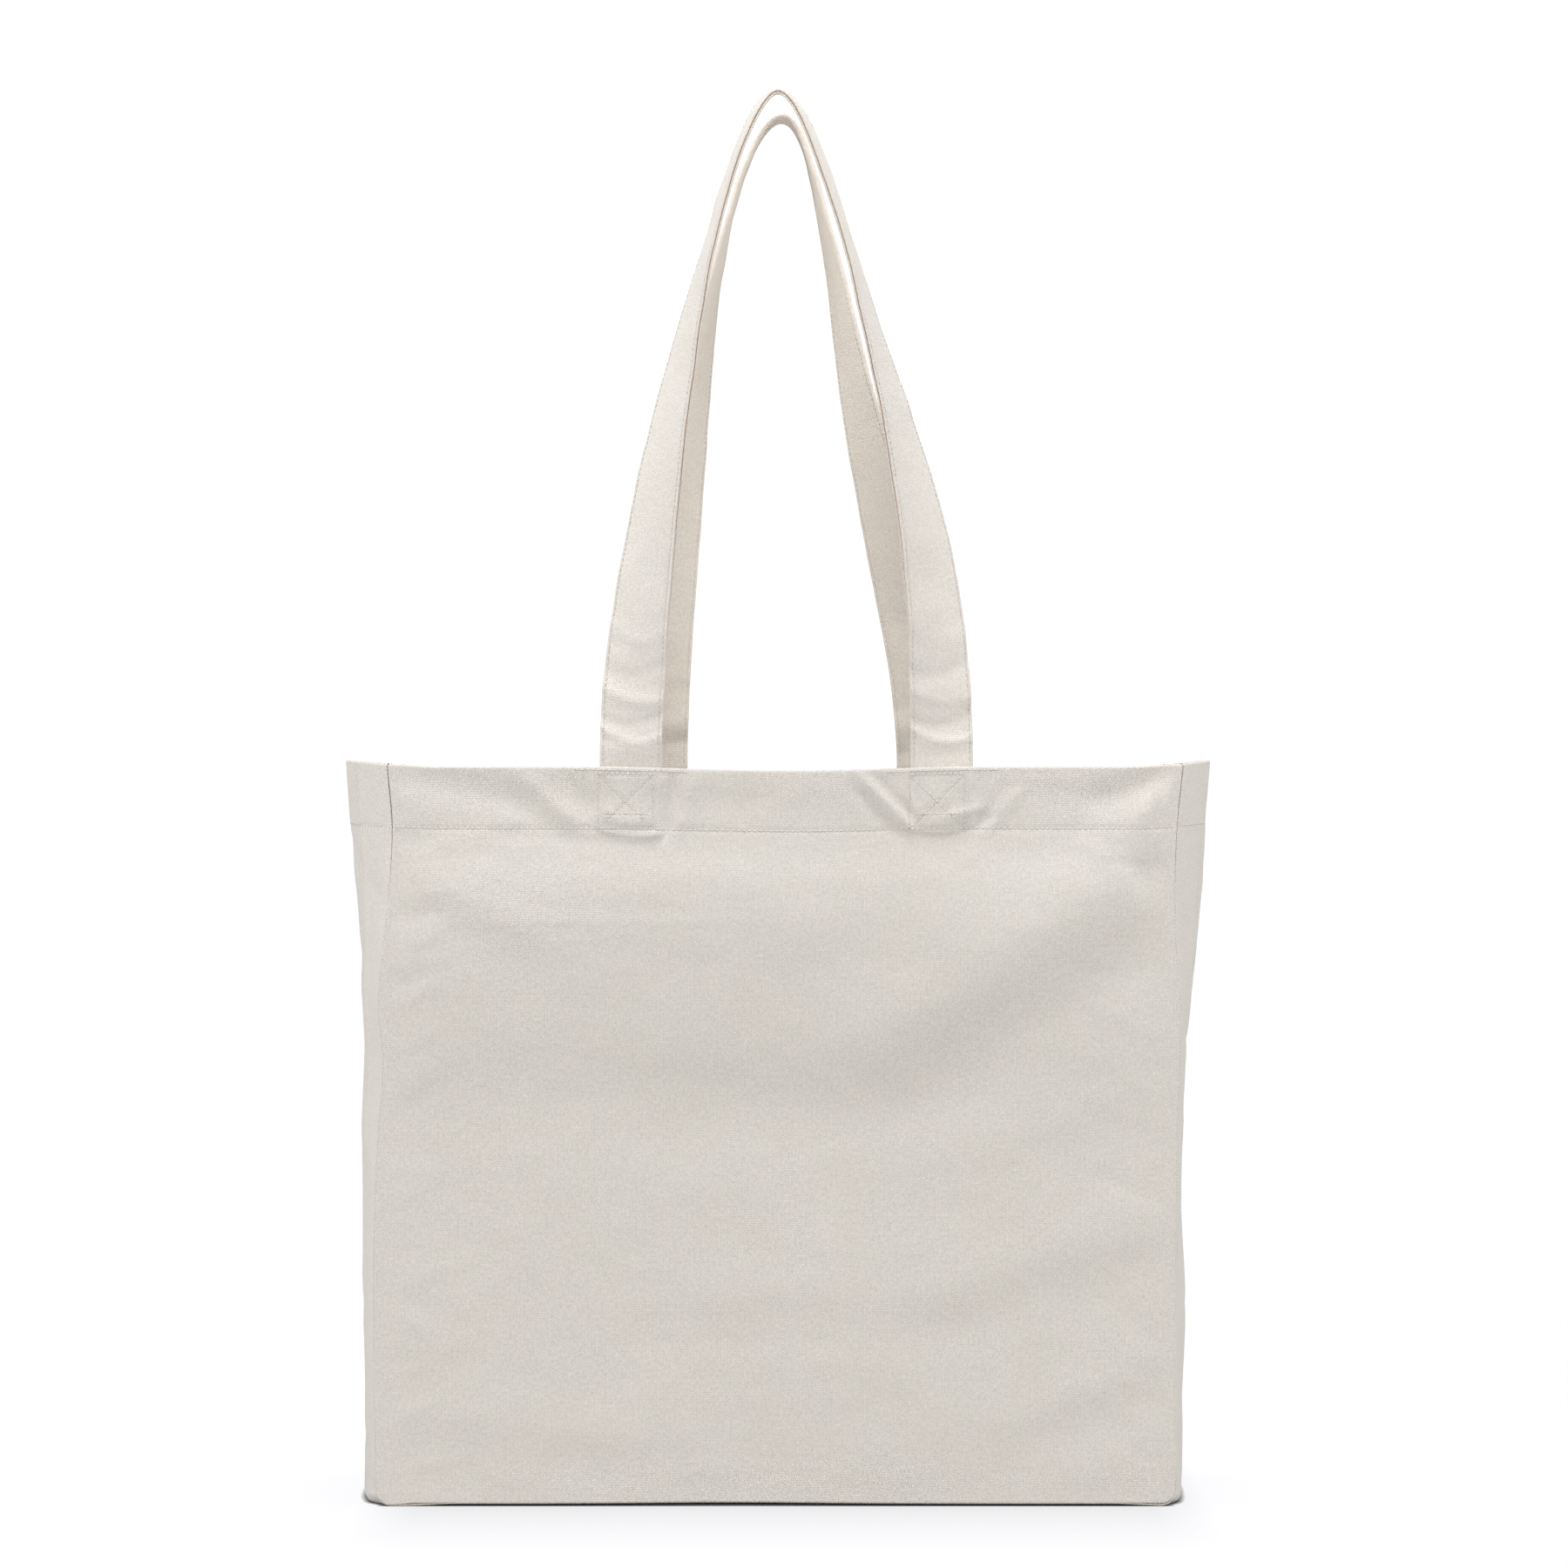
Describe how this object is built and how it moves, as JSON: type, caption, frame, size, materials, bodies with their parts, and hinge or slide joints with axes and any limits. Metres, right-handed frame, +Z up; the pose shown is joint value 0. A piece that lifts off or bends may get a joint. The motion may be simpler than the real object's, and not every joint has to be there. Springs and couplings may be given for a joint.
{
  "type": "canvas tote bag",
  "caption": "Open-topped canvas shopping bag standing upright, with a boxed gusset, a turned hem and two upright strap handles sewn inside the hem.",
  "frame": {"origin": "middle of the base, on the surface the bag stands on", "axes": "+Z up through the mouth, -Y out of the front panel, +X to the right of someone facing the front panel"},
  "size_m": [0.421, 0.1416, 0.6814],
  "materials": {
    "canvas": "matte",
    "canvas_inside": "matte",
    "strap": "matte",
    "thread": "matte"
  },
  "bodies": {
    "bag": {"front_panel": "canvas", "back_panel": "canvas", "base_gusset": "canvas", "front_hem": "canvas_inside", "back_hem": "canvas_inside", "front_seam": "canvas_inside", "back_seam": "canvas_inside", "front_left_handle_end": "strap", "front_right_handle_end": "strap", "back_left_handle_end": "strap", "back_right_handle_end": "strap", "front_hem_stitching": "thread", "back_hem_stitching": "thread", "front_edge_stitching": "thread", "back_edge_stitching": "thread", "front_left_box_stitch": "thread", "front_right_box_stitch": "thread", "back_left_box_stitch": "thread", "back_right_box_stitch": "thread"},
    "left_side": {"left_gusset": "canvas", "left_hem": "canvas_inside", "left_hem_stitching": "thread"},
    "right_side": {"right_gusset": "canvas", "right_hem": "canvas_inside", "right_hem_stitching": "thread"},
    "front_strap": {"front_handle": "strap", "front_handle_stitching": "thread"},
    "back_strap": {"back_handle": "strap", "back_handle_stitching": "thread"}
  },
  "joints": [
    {"name": "front_handle_fold", "type": "hinge", "parent": "bag", "child": "front_strap", "pos_m": [0, -0.0588, 0.3565], "axis": [1, 0, 0], "range_deg": [-6, 170]},
    {"name": "back_handle_fold", "type": "hinge", "parent": "bag", "child": "back_strap", "pos_m": [0, 0.0588, 0.3565], "axis": [-1, 0, 0], "range_deg": [-6, 170]},
    {"name": "left_gusset_fold", "type": "hinge", "parent": "bag", "child": "left_side", "pos_m": [-0.1921, 0, 0.0084], "axis": [0, 1, 0], "range_deg": [0, 6]},
    {"name": "right_gusset_fold", "type": "hinge", "parent": "bag", "child": "right_side", "pos_m": [0.1921, 0, 0.0084], "axis": [0, -1, 0], "range_deg": [0, 6]}
  ]
}
